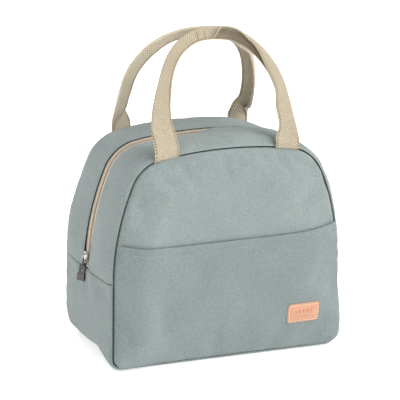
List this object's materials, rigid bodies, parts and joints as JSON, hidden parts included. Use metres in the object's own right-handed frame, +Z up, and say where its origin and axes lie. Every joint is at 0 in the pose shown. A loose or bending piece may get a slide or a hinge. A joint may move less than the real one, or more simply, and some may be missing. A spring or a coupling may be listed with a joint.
{
  "type": "lunch bag",
  "caption": "Soft insulated lunch bag with a domed outline, a zip over the arched top, a front slip pocket, a leather patch and two webbing carry handles.",
  "frame": {"origin": "centre of the flat base, on the surface it stands on", "axes": "+Z up, +X along the width, -Y towards the front pocket"},
  "size_m": [0.2511, 0.1387, 0.3216],
  "materials": {
    "fabric": "fine two-tone twill oxford weave, matte, sage blue-grey",
    "foam": "closed-cell polyethylene foam sheet, matte off-white",
    "foil_lining": "heat-sealed foil film, satin silver",
    "binding": "non-woven edge tape, matte dark grey",
    "zip_tape": "woven polyester tape, matte pale beige",
    "zip_coil": "nylon coil, satin pale beige",
    "webbing": "twill-woven cotton webbing, matte cream",
    "thread": "polyester sewing thread, satin cream",
    "leather": "smooth vegetable-tanned leather, satin peach",
    "nickel": "nickel plate, polished",
    "gunmetal": "black nickel plate, glossy"
  },
  "bodies": {
    "root": {"base_gusset": "fabric", "front_panel_lower": "fabric", "back_panel_lower": "fabric", "pocket_panel": "fabric", "label_patch": "leather", "front_gusset_ends": "fabric", "rear_gusset_ends": "fabric", "zip_tape_ends": "zip_tape", "zip_coil_ends": "zip_coil", "zip_end_stops": "nickel", "base_foam": "foam", "front_foam_lower": "foam", "back_foam_lower": "foam", "base_lining": "foil_lining", "front_lining_lower": "foil_lining", "back_lining_lower": "foil_lining", "front_binding_lower": "binding", "rear_binding_lower": "binding"},
    "front_mouth": {"front_panel_upper": "fabric", "front_zip_gusset": "fabric", "front_foam_upper": "foam", "front_gusset_foam": "foam", "front_lining_upper": "foil_lining", "front_gusset_lining": "foil_lining", "front_binding_upper": "binding", "front_zip_tape": "zip_tape", "front_zip_coil": "zip_coil", "front_handle_anchors": "webbing"},
    "rear_mouth": {"back_panel_upper": "fabric", "rear_zip_gusset": "fabric", "back_foam_upper": "foam", "rear_gusset_foam": "foam", "back_lining_upper": "foil_lining", "rear_gusset_lining": "foil_lining", "rear_binding_upper": "binding", "rear_zip_tape": "zip_tape", "rear_zip_coil": "zip_coil", "rear_handle_anchors": "webbing"},
    "front_handle": {"front_handle_webbing": "webbing", "front_handle_bartacks": "thread"},
    "rear_handle": {"rear_handle_webbing": "webbing", "rear_handle_bartacks": "thread"},
    "slider": {"slider_body": "nickel", "slider_bridge": "nickel"},
    "puller": {"pull_link": "gunmetal", "pull_tab": "gunmetal"}
  },
  "joints": [
    {"name": "front_mouth_fold", "type": "hinge", "parent": "root", "child": "front_mouth", "pos_m": [0, -0.064, 0.13], "axis": [1, 0, 0], "range_deg": [0, 25]},
    {"name": "rear_mouth_fold", "type": "hinge", "parent": "root", "child": "rear_mouth", "pos_m": [0, 0.064, 0.13], "axis": [-1, 0, 0], "range_deg": [0, 25]},
    {"name": "front_handle_swing", "type": "hinge", "parent": "front_mouth", "child": "front_handle", "pos_m": [0, -0.0655, 0.2154], "axis": [1, 0, 0], "range_deg": [0, 172]},
    {"name": "rear_handle_swing", "type": "hinge", "parent": "rear_mouth", "child": "rear_handle", "pos_m": [0, 0.0655, 0.2154], "axis": [-1, 0, 0], "range_deg": [0, 172]},
    {"name": "zip_slide", "type": "slide", "parent": "root", "child": "slider", "axis": [0.0883, 0, 0.9961], "range_m": [0, 0.025]},
    {"name": "pull_swing", "type": "hinge", "parent": "slider", "child": "puller", "pos_m": [-0.12613, 0, 0.09678], "axis": [0, 1, 0], "range_deg": [0, 165]}
  ]
}
